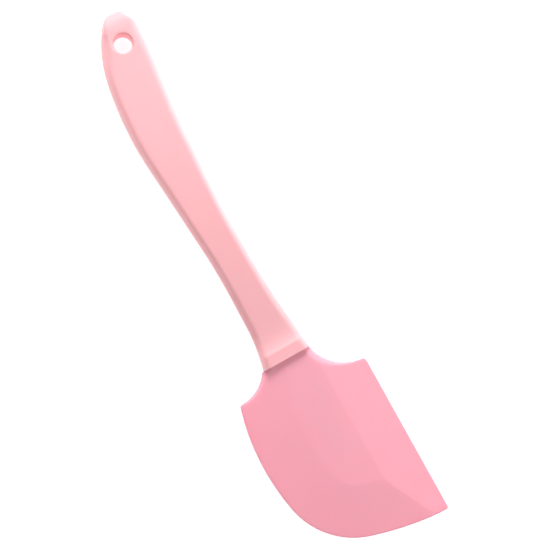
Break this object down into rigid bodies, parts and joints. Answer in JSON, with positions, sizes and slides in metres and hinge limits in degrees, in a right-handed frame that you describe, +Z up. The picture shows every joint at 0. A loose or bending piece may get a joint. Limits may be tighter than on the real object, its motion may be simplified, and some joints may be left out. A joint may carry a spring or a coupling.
{
  "type": "scraper spatula",
  "caption": "Slim hand spatula with an arched handle, a hanging hole, a raised collar and a soft asymmetric scraping blade that pulls off its tongue.",
  "frame": {"origin": "middle of the underside of the whole spatula as it lies on its back", "axes": "+Y along the handle to its hanging end, +X towards the blade's straight edge, +Z up out of the front face"},
  "size_m": [0.0604, 0.2518, 0.0136],
  "materials": {
    "grip_plastic": "satin moulded pink",
    "core_nylon": "uncoloured moulded nylon",
    "blade_silicone": "matt soft-touch pink silicone"
  },
  "bodies": {
    "handle": {"handle_grip": "grip_plastic", "handle_core": "core_nylon"},
    "head": {"blade_head": "blade_silicone"}
  },
  "joints": [
    {"name": "head_pull", "type": "slide", "parent": "handle", "child": "head", "axis": [0, -1, 0], "range_m": [0, 0.06]}
  ]
}
